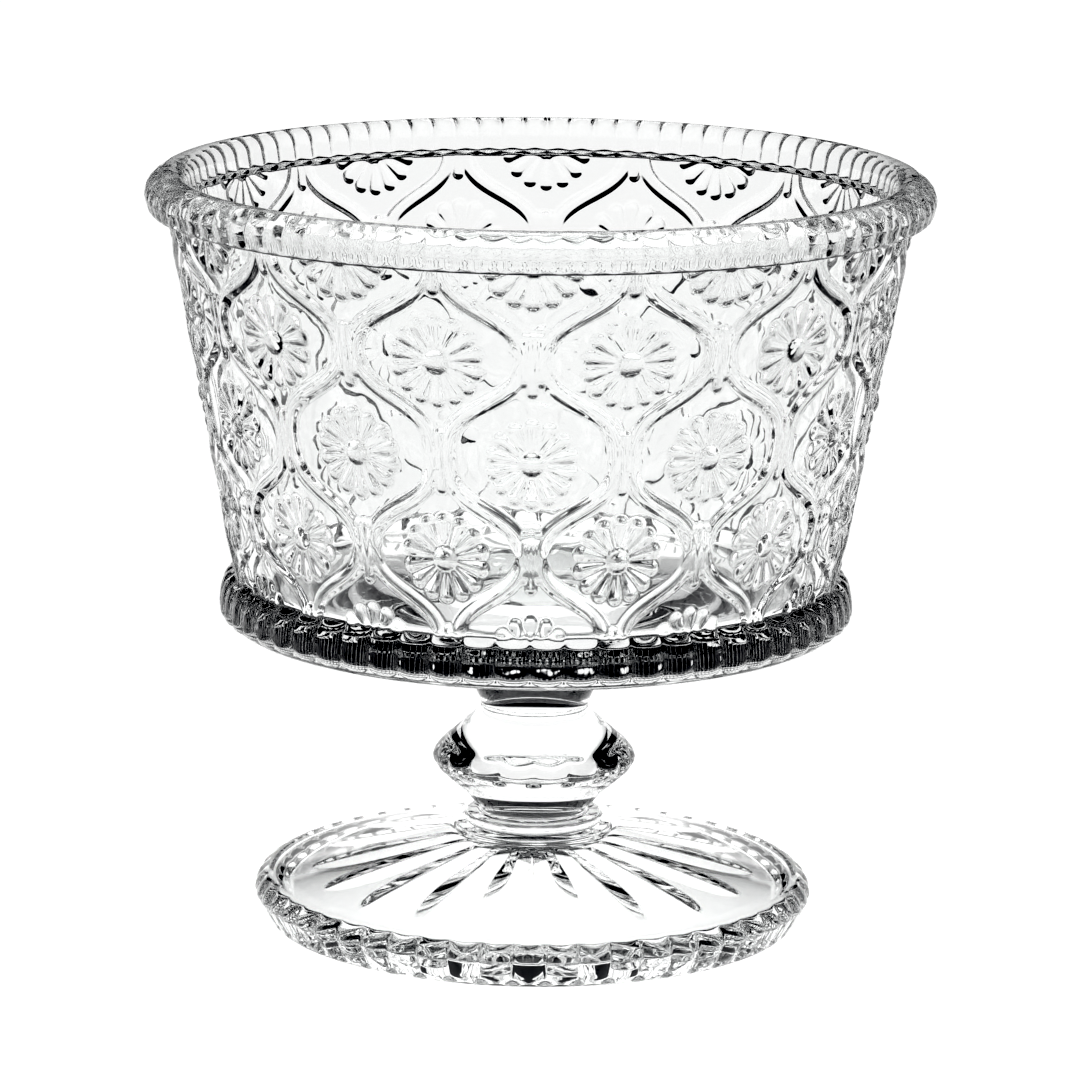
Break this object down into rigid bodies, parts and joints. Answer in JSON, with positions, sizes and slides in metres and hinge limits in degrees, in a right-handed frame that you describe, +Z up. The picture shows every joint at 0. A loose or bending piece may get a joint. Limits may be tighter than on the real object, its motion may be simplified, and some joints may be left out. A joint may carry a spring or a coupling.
{
  "type": "footed dessert glass",
  "caption": "Footed dessert glass of clear pressed glass: tapered bowl with reeded rim, raised ogee lattice and daisies, fluted knop stem and rayed conical foot.",
  "frame": {"origin": "centre of the circle that the foot stands on", "axes": "+Z up, along the axis of the bowl, stem and foot; the picture is taken from -Y, looking along +Y"},
  "size_m": [0.115, 0.115, 0.1116],
  "materials": {
    "bowl_glass": "clear, fire-polished",
    "stem_glass": "clear, fire-polished",
    "foot_glass": "clear, fire-polished"
  },
  "bodies": {
    "root": {"bowl": "bowl_glass", "stem": "stem_glass", "foot": "foot_glass"}
  },
  "joints": []
}
